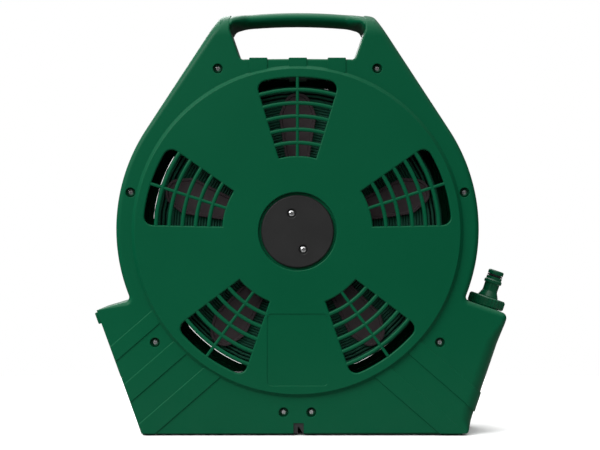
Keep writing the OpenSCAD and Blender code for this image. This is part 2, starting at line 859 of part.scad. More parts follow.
module crank_screws() {
    color(steel)
        for (k = [0:2]) rotate_hub(120 * k + 90) {
            along_y(18, crank_y + crank_t - 3, 0) cylinder(r = 3.3, h = 2);
            along_y(18, crank_y - 11, 0) cylinder(r = screw_r, h = crank_t + 9);
        }
}

module crank_cap() {
    color(black)
        along_y(0, crank_y + crank_t - 3, hub_z) cylinder(r = 12.95, h = 3.6);
}

module fold_pin() {
    color(steel)
        translate([-ear_x - ear_t - 0.5, hinge_y, hinge_z]) rotate([0, 90, 0])
            cylinder(r = fold_pin_r, h = 2 * (ear_x + ear_t) + 1);
}

// Block that folds the knob flat along the crank
module fold_block() {
    half = ear_x - 0.3;
    color(black)
        difference() {
            union() {
                translate([-half, hinge_y, hinge_z]) rotate([0, 90, 0]) cylinder(r = 7, h = 2 * half);
                translate([-half, hinge_y - 7, hinge_z]) cube([2 * half, 14, 13]);
            }
            translate([-20, hinge_y, hinge_z]) rotate([0, 90, 0])
                cylinder(r = fold_pin_r + turn_gap, h = 40);
            translate([0, hinge_y, hinge_z + 5]) cylinder(r = spindle_r, h = 20);
        }
}

module knob_spindle() {
    color(steel)
        translate([0, hinge_y, hinge_z + 5])
            difference() {
                cylinder(r = spindle_r, h = knob_z - hinge_z - 5 + knob_len);
                translate([0, 0, 40]) cylinder(r = screw_r + 0.05, h = 60);
            }
}

module crank_knob() {
    color(green)
        translate([0, hinge_y, knob_z])
            difference() {
                union() {
                    cylinder(r1 = knob_r - 2, r2 = knob_r, h = 5);
                    translate([0, 0, 5]) cylinder(r = knob_r, h = knob_len - 10);
                    translate([0, 0, knob_len - 5]) cylinder(r1 = knob_r, r2 = knob_r - 2, h = 4.8);
                }
                translate([0, 0, -1]) cylinder(r = spindle_r + turn_gap, h = knob_len + 2);
            }
}

module knob_screw() {
    color(steel)
        translate([0, hinge_y, knob_z + knob_len]) {
            cylinder(r = 8, h = 1.2);
            translate([0, 0, 1.2]) cylinder(r = 4, h = 2);
            translate([0, 0, -12]) cylinder(r = screw_r, h = 13);
        }
}

// Places a shape made along +Z on the hose's line, pointing out of the mouth
module on_hose(x) {
    translate([x, 0, hose_z]) rotate([0, -90, 0]) children();
}

// Free end of the hose: flat between the rollers, round where it enters the end fitting
module hose_leadout() {
    color(hose_green) {
        translate([flat_to, -hose_w / 2, hose_z - hose_t / 2])
            cube([leadout_from - flat_to, hose_w, hose_t]);
        hull() {
            translate([flat_to, -hose_w / 2, hose_z - hose_t / 2]) cube([eps, hose_w, hose_t]);
            on_hose(round_from - 1) cylinder(r = hose_round_r - 0.3, h = eps, $fn = 32);
        }
        on_hose(round_from) cylinder(r = hose_round_r, h = round_from - sleeve_to);
    }
}

// Crimped sleeve on the hose's end
module end_sleeve() {
    color(black)
        on_hose(round_from - 2)
            difference() {
                cylinder(r = 11.5, h = round_from - 2 - sleeve_to - 0.1);
                translate([0, 0, -1]) cylinder(r = hose_round_r + 0.05, h = 40);
            }
}

// Quick connector on the hose's end
module end_coupler() {
    color(black)
        on_hose(sleeve_to)
            difference() {
                union() {
                    cylinder(r = 15, h = 4);
                    cylinder(r = coupler_r, h = sleeve_to - coupler_to);
                    translate([0, 0, sleeve_to - coupler_to - 1.6]) cylinder(r = 14.3, h = 1.6);
                }
                translate([0, 0, -1]) cylinder(r = bore_r, h = 50);
                translate([0, 0, 8]) cylinder(r = socket_r, h = 50);
                translate([0, 0, 11]) cylinder(r = socket_r + 1.85, h = 2.6);
            }
}

// Sliding ring that releases the quick connector
module coupler_ring() {
    color(green)
        on_hose(sleeve_to - 8)
            difference() {
                union() {
                    cylinder(r = 15.6, h = 13);
                    for (k = [0:11]) rotate(30 * k) translate([15.4, 0, 1.5]) cylinder(r = 0.9, h = 10);
                }
                translate([0, 0, -1]) cylinder(r = coupler_r + 0.08, h = 20);
            }
}

module coupler_o_ring() {
    color(black)
        on_hose(sleeve_to - 12.3)
            rotate_extrude() translate([socket_r + 0.95, 0]) circle(0.85, $fn = 24);
}

rear_shell();
front_shell();
housing_screws();
notch_liner();
mouth_plate();
guide_bracket();
guide_pins();
upper_roller();
lower_roller();
hub_cap();
hub_cap_screws();
water_spigot();
spigot_o_rings();
feed_hose();
feed_clips();
inlet_elbow();
inlet_collar();
inlet_nipple();
nipple_o_ring();
inlet_washer();
front_bush();
rear_spider();
front_spider();
drum_core();
drum_screws();
start_fitting();
start_clamp();
hose_coil();
crank_arm();
crank_screws();
crank_cap();
fold_pin();
fold_block();
knob_spindle();
crank_knob();
knob_screw();
hose_leadout();
end_sleeve();
end_coupler();
coupler_ring();
coupler_o_ring();
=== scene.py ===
import math

import bmesh
import bpy
from mathutils import Matrix, Vector


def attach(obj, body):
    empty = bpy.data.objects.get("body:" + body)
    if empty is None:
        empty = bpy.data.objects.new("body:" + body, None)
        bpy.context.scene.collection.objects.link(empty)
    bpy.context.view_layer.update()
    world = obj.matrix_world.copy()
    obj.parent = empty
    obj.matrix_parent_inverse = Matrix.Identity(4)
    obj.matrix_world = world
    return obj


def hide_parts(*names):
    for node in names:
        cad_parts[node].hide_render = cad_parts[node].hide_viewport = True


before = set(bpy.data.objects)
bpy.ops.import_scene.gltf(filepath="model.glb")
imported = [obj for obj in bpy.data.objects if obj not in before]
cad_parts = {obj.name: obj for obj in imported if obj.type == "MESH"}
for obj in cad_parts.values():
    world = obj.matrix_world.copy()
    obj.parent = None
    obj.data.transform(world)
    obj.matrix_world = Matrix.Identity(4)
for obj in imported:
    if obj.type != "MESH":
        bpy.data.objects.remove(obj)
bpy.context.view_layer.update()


# ---------------------------------------------------------------------------------------
# View, floor and studio light
# The cassette stands on a plain pale floor.  The camera looks square at the water side
# from 1.45 m away, level with the middle of the housing; the light is broad and soft.
# ---------------------------------------------------------------------------------------
MM = 0.001
VIEW_FROM = Vector((0.0025, -1.448, 0.2114))

camera = bpy.data.objects.new("camera", bpy.data.cameras.new("camera"))
camera.data.sensor_width = 36
camera.data.lens = 84
camera.location = VIEW_FROM
camera.rotation_euler = (math.radians(90), 0, 0)
bpy.context.collection.objects.link(camera)
bpy.context.scene.camera = camera
bpy.context.scene.view_settings.view_transform = "Standard"


def soft_light(name, place, aim, size, watts, mirrored=True):
    """A square soft box that shines from one place towards another."""
    lamp = bpy.data.lights.new(name, "AREA")
    lamp.size = size
    lamp.energy = watts
    light = bpy.data.objects.new(name, lamp)
    light.location = place
    light.visible_glossy = mirrored
    light.rotation_euler = (Vector(aim) - Vector(place)).to_track_quat("-Z", "Y").to_euler()
    bpy.context.collection.objects.link(light)


soft_light("key_softbox", (-1.3, -1.2, 1.5), (0, 0, 0.28), 0.8, 27)
soft_light("fill_softbox", (-0.3, -1.8, 0.9), (0, 0, 0.34), 1.0, 9.5, mirrored=False)
soft_light("back_softbox", (-0.6, 1.6, 1.2), (0, 0, 0.22), 1.0, 14)


class Wire:
    """A shader socket that adds its own Math nodes when it is used in an expression."""

    def __init__(self, tree, socket):
        self.tree = tree
        self.socket = socket

    def node(self, kind, settings=None, **values):
        """Adds a node, sets it, feeds its sockets and returns its outputs by name."""
        made = self.tree.nodes.new(kind)
        for key, value in (settings or {}).items():
            setattr(made, key, value)
        for name, value in values.items():
            slot = made.inputs[int(name[1:]) if name[0] == "_" else name.replace("_", " ")]
            if isinstance(value, Wire):
                self.tree.links.new(value.socket, slot)
            else:
                slot.default_value = value
        return lambda out: Wire(self.tree, made.outputs[out])

    def math(self, operation, a, b=0.0):
        return self.node("ShaderNodeMath", {"operation": operation}, _0=a, _1=b)(0)

    def __add__(self, other):
        return self.math("ADD", self, other)

    def __sub__(self, other):
        return self.math("SUBTRACT", self, other)

    def __rsub__(self, other):
        return self.math("SUBTRACT", other, self)

    def __mul__(self, other):
        return self.math("MULTIPLY", self, other)

    __radd__ = __add__
    __rmul__ = __mul__

    def clamp(self):
        return self.node("ShaderNodeClamp", None, Value=self)(0)


def new_finish(name, metallic=0.0, specular=0.5):
    """An empty material; returns it, its shader, and a wire that carries object coordinates."""
    material = bpy.data.materials.new(name)
    material.use_nodes = True
    tree = material.node_tree
    shader = tree.nodes["Principled BSDF"]
    shader.inputs["Metallic"].default_value = metallic
    shader.inputs["Specular IOR Level"].default_value = specular
    places = tree.nodes.new("ShaderNodeTexCoord")
    return material, shader, Wire(tree, places.outputs["Object"])


def feed(shader, **links):
    """Joins wires to the shader's sockets."""
    for name, wire in links.items():
        wire.tree.links.new(wire.socket, shader.inputs[name.replace("_", " ")])


def noise(at, scale, detail=3.0, roughness=0.5):
    return at.node("ShaderNodeTexNoise", None, Vector=at, Scale=scale, Detail=detail,
                   Roughness=roughness)("Fac")


def tint(at, factor, dark, light):
    """A colour between dark and light."""
    return at.node("ShaderNodeMix", {"data_type": "RGBA"}, Factor=factor, _6=(*dark, 1),
                   _7=(*light, 1))(2)


def bumps(at, height, strength, distance):
    return at.node("ShaderNodeBump", None, Strength=strength, Distance=distance,
                   Height=height)("Normal")


def studio_world():
    """A white backdrop with soft light that comes mostly from above."""
    world = bpy.data.worlds.new("studio")
    world.use_nodes = True
    tree = world.node_tree
    sky = Wire(tree, tree.nodes.new("ShaderNodeTexCoord").outputs["Generated"])
    split = sky.node("ShaderNodeSeparateXYZ", None, Vector=sky)
    seen = sky.node("ShaderNodeLightPath")("Is Camera Ray")
    height = split("Z").clamp()
    overhead, all_round, one_sided = 3.1, 0.05, 0.8
    light = height * height * (1 - split("X") * one_sided) * overhead + all_round
    backdrop = tree.nodes["Background"].inputs
    backdrop["Color"].default_value = (1, 1, 1, 1)
    tree.links.new((seen + (1 - seen) * light).socket, backdrop["Strength"])
    return world


bpy.context.scene.world = studio_world()


def floor_finish():
    """Matt pale paint that throws only a little light back at the object."""
    material, shader, at = new_finish("studio_floor", specular=0.0)
    seen = at.node("ShaderNodeLightPath")("Is Camera Ray")
    paint = tint(at, noise(at, 3.0), (0.86, 0.86, 0.86), (0.9, 0.9, 0.9))
    colour = at.node("ShaderNodeMix", {"data_type": "RGBA"}, Factor=seen, _6=(0.3, 0.3, 0.3, 1), _7=paint)(2)
    feed(shader, Base_Color=colour)
    shader.inputs["Roughness"].default_value = 0.9
    return material


floor_bm = bmesh.new()
bmesh.ops.create_grid(floor_bm, x_segments=1, y_segments=1, size=0.5)
floor_mesh = bpy.data.meshes.new("floor")
floor_bm.to_mesh(floor_mesh)
floor_bm.free()
floor_mesh.materials.append(floor_finish())
floor = bpy.data.objects.new("floor", floor_mesh)
bpy.context.collection.objects.link(floor)


# ---------------------------------------------------------------------------------------
# The two shells of the housing
# Each is one injection moulding of green polypropylene with a fine spark-eroded grain.
# The halves meet on the middle plane and are held by eight sunk screws.
# ---------------------------------------------------------------------------------------
HUB = Vector((0, 0, 0.205))
FACE = 44 * MM
WALL = 3 * MM
RIM_Z = 207.4 * MM
RIM_R = 182.5 * MM
SIDE_LEAN = 33.0
GRIP_TOP = 430 * MM
ARCH_R = 585 * MM
TOP_CORNER_R = 10 * MM
FOOT_Z = 1.8
LEFT_FOOT_X = 156.5
RIGHT_FOOT_X = 171.2
WINDOW_ANGLES = [18 + 72 * k for k in range(5)]


def moulded_green(name):
    """Green polypropylene: cloudy pigment, fine grain, and dust towards the ground."""
    material, shader, at = new_finish(name, specular=0.1)
    cloud = noise(at, 9.0, 4.0)
    grit = noise(at, 1400.0, 2.0, 0.7)
    height = at.node("ShaderNodeSeparateXYZ", None, Vector=at)("Z")
    low = (1 - height * 11.0).clamp() * noise(at, 60.0, 4.0) * 0.1
    clean = tint(at, cloud, (0.0008, 0.066, 0.0275), (0.0014, 0.078, 0.0335))
    dusty = at.node("ShaderNodeMix", {"data_type": "RGBA"}, Factor=low.clamp(), _6=clean,
                    _7=(0.03, 0.09, 0.06, 1))(2)
    feed(shader, Base_Color=dusty, Roughness=cloud * 0.08 + grit * 0.08 + 0.3,
         Normal=bumps(at, grit, 0.35, 0.0002))
    return material


def arc(centre, radius, start, end, steps):
    """Points along an arc in the housing's face, angles in degrees."""
    turn = [math.radians(start + (end - start) * k / steps) for k in range(steps + 1)]
    return [centre + Vector((math.cos(t), math.sin(t))) * radius for t in turn]


def bearing(vector):
    return math.degrees(math.atan2(vector.y, vector.x))


def rounded(before, corner, after, radius, steps=5):
    """Points that round a straight corner."""
    a = (before - corner).normalized()
    b = (after - corner).normalized()
    half = a.angle(b) / 2
    centre = corner + (a + b).normalized() * radius / math.sin(half)
    start = bearing(corner + a * radius / math.tan(half) - centre)
    end = bearing(corner + b * radius / math.tan(half) - centre)
    return arc(centre, radius, start, start + (end - start + 180) % 360 - 180, steps)


def soften(corners, steps=3, closed=False):
    """A line through corners (x, y) or (x, y, radius of the rounding), in millimetres."""
    spots = [Vector(c[:2]) * MM for c in corners]
    points = []
    for k, corner in enumerate(corners):
        if len(corner) > 2 and (closed or 0 < k < len(corners) - 1):
            after = spots[(k + 1) % len(spots)]
            points += rounded(spots[k - 1], spots[k], after, corner[2] * MM, steps)
        else:
            points.append(spots[k])
    return points


def half_outline(tip, foot, slope_rise, tip_r, foot_r):
    """One side of the housing from the foot up to the middle of the grip, drawn on the right."""
    rim_c = Vector((0, RIM_Z))
    arch_c = Vector((0, GRIP_TOP - ARCH_R))
    side = Vector((math.cos(math.radians(SIDE_LEAN)), math.sin(math.radians(SIDE_LEAN))))
    slope = Vector((-1, slope_rise)).normalized()
    up = Vector((slope.y, -slope.x))
    # Hollow corner where the shoulder meets the round rim
    hollow_r = 4.5 * MM
    start = tip + up * hollow_r - rim_c
    reach = start.dot(slope)
    run = -reach - math.sqrt(reach ** 2 - start.length_squared + (RIM_R + hollow_r) ** 2)
    hollow_c = rim_c + start + slope * run
    # Top corner, tangent to the leaning side and to the long arch
    base = side * (side.dot(rim_c) + RIM_R - TOP_CORNER_R) - arch_c
    along = Vector((-side.y, side.x))
    b = base.dot(along)
    rise = -b + math.sqrt(b * b - base.length_squared + (ARCH_R - TOP_CORNER_R) ** 2)
    corner_c = arch_c + base + along * rise
    arch_from = bearing(corner_c - arch_c)
    points = rounded(Vector((0, foot.y)), foot, tip, foot_r, 3) if foot_r else [foot]
    bottom = points[-1]
    points += [bottom.lerp(tip, k / 12) for k in range(1, 12)]
    points += rounded(foot, tip, tip + slope, tip_r, 5) if tip_r else [tip]
    dip = bearing(rim_c - hollow_c)
    points += arc(hollow_c, hollow_r, bearing(-up), dip - 360 if dip > 0 else dip, 6)
    points += arc(rim_c, RIM_R, bearing(hollow_c - rim_c), SIDE_LEAN, 40)[1:]
    points += arc(corner_c, TOP_CORNER_R, SIDE_LEAN, arch_from, 7)
    points += arc(arch_c, ARCH_R, arch_from, 90, 12)[1:]
    return points


def flipped(points):
    """The mirror image of an outline in x, still counter-clockwise."""
    return [Vector((-p.x, p.y)) for p in reversed(points)]


def housing_outline():
    """The whole outline; the left side, with the hose's mouth, keeps sharp corners."""
    right_foot = Vector((RIGHT_FOOT_X, FOOT_Z)) * MM
    left_foot = Vector((LEFT_FOOT_X, FOOT_Z)) * MM
    right = half_outline(Vector((212, 121.5)) * MM, right_foot, 0.338, 6 * MM, 3.6 * MM)
    left = half_outline(Vector((201.6, 125.8)) * MM, left_foot, 0.3, 0, 0)
    return right + flipped(left)[1:]


def ease(value, low, high):
    """Runs smoothly from 0 to 1 between low and high."""
    t = min(max((value - low) / (high - low), 0), 1)
    return t * t * (3 - 2 * t)


def edge_round(point):
    """Radius of the rounded front edge at a point of the outline."""
    x, z = point.x / MM, point.y / MM
    radius = 5.5 + 3.5 * ease(z, 404, 424)
    if z < 140:
        wall = RIGHT_FOOT_X + (z - FOOT_Z) * 0.3409
        radius += 8.5 * ease(x, wall - 6, wall - 2) * (1 - ease(z, 92, 113))
        radius += (0.7 - radius) * ease(-x, 122 + z * 0.36, 150 + z * 0.36)
        radius += (2.2 - radius) * (1 - ease(z, 4, 16)) * (1 - ease(-x, 140, 155))
    return radius * MM


def drawn_in(points, amounts):
    """The outline with each point moved inwards by its own amount."""
    moved = []
    for k, here in enumerate(points):
        u = (here - points[k - 1]).normalized()
        v = (points[(k + 1) % len(points)] - here).normalized()
        n = Vector((-u.y, u.x))
        m = Vector((-v.y, v.x))
        moved.append(here + (n + m) * amounts[k] / (1 + n.dot(m)))
    return moved


def prism(points, levels):
    """A closed solid from an outline in x and z.

    Each level is a depth y and how far the outline is drawn in there, for all points or for each.
    """
    bm = bmesh.new()
    face = None
    for depths, amounts in levels:
        depths = [depths] * len(points) if isinstance(depths, (int, float)) else depths
        amounts = [amounts] * len(points) if isinstance(amounts, (int, float)) else amounts
        spots = drawn_in(points, amounts)
        if face is None:
            face = bm.faces.new([bm.verts.new((p.x, y, p.y)) for p, y in zip(spots, depths)])
            continue
        made = bmesh.ops.extrude_face_region(bm, geom=[face])["geom"]
        if len(bm.faces) > len(points) + 2:
            bmesh.ops.delete(bm, geom=[face], context="FACES_ONLY")
        face = next(f for f in made if isinstance(f, bmesh.types.BMFace))
        for vert, spot, y in zip(face.verts, spots, depths):
            vert.co = (spot.x, y, spot.y)
    bmesh.ops.recalc_face_normals(bm, faces=bm.faces)
    return bm


def mm_levels(*levels):
    """Levels of a prism given in millimetres."""
    return [(depth * MM, amount * MM) for depth, amount in levels]


def round_over(depth, radius, steps=4, outwards=False):
    """Levels in millimetres that round the front edge of a prism, or flare the mouth of a hole."""
    turns = [math.radians(90 * k / steps) for k in range(steps + 1)]
    sign = -radius if outwards else radius
    return [(depth + radius - radius * math.sin(t), sign * (1 - math.cos(t))) for t in turns]


def circle(radius, x=0.0, z=0.0, steps=64):
    """A round outline in millimetres."""
    return arc(Vector((x, z)) * MM, radius * MM, 0, 360 - 360 / steps, steps - 1)


def joined(*parts):
    """One bmesh that holds all the parts."""
    whole = parts[0]
    for part in parts[1:]:
        spare = bpy.data.meshes.new("spare")
        part.to_mesh(spare)
        whole.from_mesh(spare)
        bpy.data.meshes.remove(spare)
        part.free()
    return whole


def carved(body, tool, operation="DIFFERENCE"):
    """The body with the tool cut out of it, joined to it, or kept only where both are."""
    pair = []
    for bm in (body, tool):
        mesh = bpy.data.meshes.new("work")
        bm.to_mesh(mesh)
        bm.free()
        piece = bpy.data.objects.new("work", mesh)
        bpy.context.collection.objects.link(piece)
        pair.append(piece)
    cut = pair[0].modifiers.new("cut", "BOOLEAN")
    cut.operation = operation
    cut.solver = "EXACT"
    cut.object = pair[1]
    result = bmesh.new()
    result.from_mesh(pair[0].evaluated_get(bpy.context.evaluated_depsgraph_get()).data)
    for piece in pair:
        bpy.data.meshes.remove(piece.data)
    return result


def spun(profile, place=None, steps=48, ring=False):
    """A turned part: (radius, height) points in metres on the place's own Z axis."""
    bm = bmesh.new()
    verts = [bm.verts.new((p[0], 0, p[1])) for p in profile]
    edges = [bm.edges.new(pair) for pair in zip(verts, verts[1:])]
    if ring:
        edges.append(bm.edges.new((verts[-1], verts[0])))
    bmesh.ops.spin(bm, geom=verts + edges, cent=(0, 0, 0), axis=(0, 0, 1), angle=2 * math.pi,
                   steps=steps, use_merge=True)
    bmesh.ops.remove_doubles(bm, verts=bm.verts, dist=1e-6)
    if place:
        bmesh.ops.transform(bm, matrix=place, verts=bm.verts)
    bmesh.ops.recalc_face_normals(bm, faces=bm.faces)
    return bm


def moved_to(x, y, z):
    """A place given in millimetres, unturned."""
    return Matrix.Translation(Vector((x, y, z)) * MM)


def on_y(x, y, z):
    """A place whose Z axis runs towards the crank side."""
    return moved_to(x, y, z) @ Matrix.Rotation(math.radians(-90), 4, "X")


def round_the_hub(angle):
    """Turns a part about the drum's axis, anticlockwise as the water side shows it."""
    spot = Matrix.Translation(HUB)
    return spot @ Matrix.Rotation(math.radians(-angle), 4, "Y") @ spot.inverted()


def turned(bm, matrix):
    bmesh.ops.transform(bm, matrix=matrix, verts=bm.verts)
    return bm


def publish(name, bm, body, finish, replaces, crease=35):
    """Makes a finished piece that rides on a body and stands for CAD nodes."""
    mesh = bpy.data.meshes.new(name)
    bm.to_mesh(mesh)
    bm.free()
    mesh.shade_smooth()
    mesh.set_sharp_from_angle(angle=math.radians(crease))
    mesh.materials.append(finish)
    piece = bpy.data.objects.new(name, mesh)
    bpy.context.collection.objects.link(piece)
    flat = piece.modifiers.new("flat_faces", "WEIGHTED_NORMAL")
    flat.keep_sharp = True
    flat.weight = 100
    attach(piece, body)
    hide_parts(*replaces)


outline = housing_outline()
edge_radii = [edge_round(p) for p in outline]


def shell_solid(grow):
    """The outside of one shell, made bigger by grow metres."""
    levels = [(0.0, -grow)]
    for k in range(6):
        t = math.radians(18 * k)
        levels.append(([-(FACE + grow - r + r * math.sin(t)) for r in edge_radii],
                       [r - r * math.cos(t) - grow for r in edge_radii]))
    return prism(outline, levels)


SCREW_SPOTS = [(side * x, z) for x, z in ((80, 368.4), (167.6, 244), (143, 93.5), (13.9, 23.4))
               for side in (1, -1)]
FOOT_SCREWS = SCREW_SPOTS[4:6]


def in_mm(points):
    """Points of an outline or a turned profile, given in millimetres."""
    return [Vector(p) * MM for p in points]


def foot_bands():
    """The raised diagonal bands: a skin a millimetre proud of the shell, cut to long strips."""
    normal = Vector((math.cos(math.radians(49)), math.sin(math.radians(49))))
    tangent = Vector((-normal.y, normal.x)) * 0.3
    right = in_mm([(8, 2.4), (180, 2.4), (216, 116), (212, 117), (150, 138), (8, 138)])
    left = in_mm([(-155.4, 2.4), (-8, 2.4), (-8, 136.6), (-150, 136.6), (-199.6, 121.6)])
    sides = []
    for corner, behind in ((right, -7), (left, -40)):
        strips = []
        for near, far in ((175.3, 190.9), (134.6, 153.4), (94.6, 113.6)):
            strip = [normal * near * MM - tangent, normal * far * MM - tangent,
                     normal * far * MM + tangent, normal * near * MM + tangent]
            strip = strip if corner is right else flipped(strip)
            strips.append(prism(strip, mm_levels((-6, 0), (-44, 0), (-45.2, 1.1), (-47, 1.1))))
        sides.append(carved(joined(*strips), prism(corner, mm_levels((behind, 0), (-46, 0))), "INTERSECT"))
    bands = carved(joined(*sides), shell_solid(1 * MM), "INTERSECT")
    bands = carved(bands, shell_solid(-1 * MM))
    bands = carved(bands, prism(circle(164, 0, 205, 128), mm_levels((0, 0), (-50, 0))))
    return carved(bands, joined(*[prism(circle(4.9, x, z, 32), mm_levels((-30, 0), (-50, 0)))
                                  for x, z in FOOT_SCREWS]))


def window_outline():
    """One window, on the +x side of the hub's centre."""
    inner, outer, corner = 75.5 * MM, 154.25 * MM, 8.5 * MM
    a = Vector((math.cos(math.radians(14.3)), math.sin(math.radians(14.3)))) * inner
    b = Vector((math.cos(math.radians(15.6)), math.sin(math.radians(15.6)))) * outer
    u = (b - a).normalized()
    n = Vector((u.y, -u.x))
    t = bearing(n) + math.degrees(math.acos((n.dot(a) + corner) / (outer - corner)))
    c = Vector((math.cos(math.radians(t)), math.sin(math.radians(t)))) * (outer - corner)
    origin = Vector((0, 0))
    upper = arc(origin, outer, 0, t, 10) + arc(c, corner, t, bearing(-n), 6)[1:]
    upper += arc(origin, inner, 14.3, 0, 6)
    lower = [Vector((p.x, -p.y)) for p in reversed(upper[1:-1])]
    return [p + Vector((0, HUB.z)) for p in upper + lower]


def windows():
    levels = mm_levels((-30, 0), *round_over(-48, 1.6, 4, True), (-50, -1.6))
    return joined(*[turned(prism(window_outline(), levels), round_the_hub(a)) for a in WINDOW_ANGLES])


def grille():
    """Five curved bars and a middle rib in each window."""
    parts = []
    for angle in WINDOW_ANGLES:
        for k in range(5):
            r = 88.85 + 13.25 * k
            section = [(r - 1.95, -45), (r + 1.95, -45), (r + 1.95, -46.6), (r + 1.6, -47.3),
                       (r + 0.9, -47.75), (r, -47.85), (r - 0.9, -47.75), (r - 1.6, -47.3),
                       (r - 1.95, -46.6)]
            bm = bmesh.new()
            face = bm.faces.new([bm.verts.new((x * MM, y * MM, HUB.z)) for x, y in section])
            half = math.radians(17.2)
            bmesh.ops.spin(bm, geom=[face], cent=HUB, axis=(0, 1, 0), angle=2 * half, steps=12)
            bmesh.ops.recalc_face_normals(bm, faces=bm.faces)
            parts.append(turned(bm, round_the_hub(angle + math.degrees(half))))
        rib = [Vector((x * MM, HUB.z + z * MM)) for x, z in ((72, -1.6), (158, -1.6), (158, 1.6), (72, 1.6))]
        parts.append(turned(prism(rib, mm_levels((-45.2, 0), (-46.6, 0), (-47.3, 0.3), (-47.7, 0.9))),
                            round_the_hub(angle)))
    return joined(*parts)


def hand_opening():
    """Cuts the hand opening: its sides lean outwards from the joint, and its mouth is flared."""
    right = soften([(0, 378.2), (56.4, 378.2, 5.5), (66.8, 408), (66.8, 440)])
    points = right + flipped(right)[:-1]
    sides = [ease(abs(p.x) / MM, 50, 57) for p in points]
    steps = [(0, 0.2, 0), (-41.8, 1.5, 0)]
    steps += [(depth, 1.5, -inset) for depth, inset in round_over(-44, 2, 4, True)]
    levels = [(1 * MM, 0)]
    for depth, lean, flare in steps:
        levels.append((depth * MM, [-(lean * side + flare) * MM for side in sides]))
    levels.append((-60 * MM, levels[-1][1]))
    return prism(points, levels)


def arch_top(x):
    """Height of the housing's arched top, in millimetres."""
    radius = ARCH_R / MM
    return GRIP_TOP / MM - (radius - math.sqrt(radius ** 2 - x * x))


def grip_bar():
    """The grip: a round bar that widens into the cheeks."""
    stations = [-78, -68, -66.6, -66, -65, -64, -62, -60, -58, -56, -54, -51, -48, -36, -24, -12,
                0, 12, 24, 36, 48, 51, 54, 56, 58, 60, 62, 64, 65, 66, 66.6, 68, 78]
    around = 40
    bm = bmesh.new()
    loops = []
    for x in stations:
        flare = ease(abs(x), 48, 68)
        depth = 18 + 25.4 * flare
        corner = min(max((abs(x) - 61.3) / 5.5, 0), 1)
        drop = 5.5 * (1 - math.sqrt(1 - corner * corner))
        half = 6.85 - 0.15 * (abs(x) > 67) + drop / 2
        power = 2.1 + 0.5 * flare
        middle_z = arch_top(x) - 6.85 - drop / 2
        ring = []
        for k in range(around):
            t = 2 * math.pi * (k + 0.5) / around
            c, s = math.cos(t), math.sin(t)
            y = depth * math.copysign(abs(c) ** (2 / power), c)
            z = middle_z + half * math.copysign(abs(s) ** (2 / power), s)
            ring.append(bm.verts.new((x * MM, y * MM, z * MM)))
        loops.append([bm.edges.new((ring[k - 1], ring[k])) for k in range(around)])
        if len(loops) > 1:
            bmesh.ops.bridge_loops(bm, edges=loops[-2] + loops[-1])
        if x in (stations[0], stations[-1]):
            bm.faces.new(ring)
    bmesh.ops.recalc_face_normals(bm, faces=bm.faces)
    return bm


def crowned(bm):
    """Rounds the depth of the cheeks away towards their top, where they run into the grip."""
    for z in (401, 404, 407, 410, 412.5, 415, 417, 419, 421, 423, 424.5, 426):
        bmesh.ops.bisect_plane(bm, geom=bm.verts[:] + bm.edges[:] + bm.faces[:], plane_co=(0, 0, z * MM),
                               plane_no=(0, 0, 1))
    for vert in bm.verts:
        x, z = abs(vert.co.x / MM), vert.co.z / MM
        if z > 400:
            rise = min((z - 400) / (arch_top(x) + 0.6 - 400), 1)
            vert.co.y *= 1 - (1 - (1 - rise ** 2.6) ** (1 / 2.6)) * ease(x, 48, 66)
    return bm


def left_wall_place():
    """The frame of the left wall: Z runs up the wall and X points into the housing."""
    return moved_to(-LEFT_FOOT_X, 0, FOOT_Z) @ Matrix.Rotation(math.radians(-19.985), 4, "Y")


def inlet_place():
    """The frame of the water inlet: Z leaves the housing along the nipple."""
    return moved_to(193.6, 0, 127.9) @ Matrix.Rotation(math.radians(18.7), 4, "Y")


def block(low, high, place=None):
    """A plain block to cut or join with, corners in millimetres."""
    bm = bmesh.new()
    bmesh.ops.create_cube(bm, size=1)
    size = (Vector(high) - Vector(low)) * MM
    centre = (Vector(high) + Vector(low)) * MM / 2
    turned(bm, Matrix.Translation(centre) @ Matrix.Diagonal((*size, 1)))
    return turned(bm, place) if place else bm


def round_hole(radius, x, z, back, front, flare, steps, turns):
    """Cuts a round hole or well whose mouth is rounded over."""
    return prism(circle(radius, x, z, steps),
                 mm_levels((back, 0), *round_over(front, flare, turns, True), (-50, -flare)))


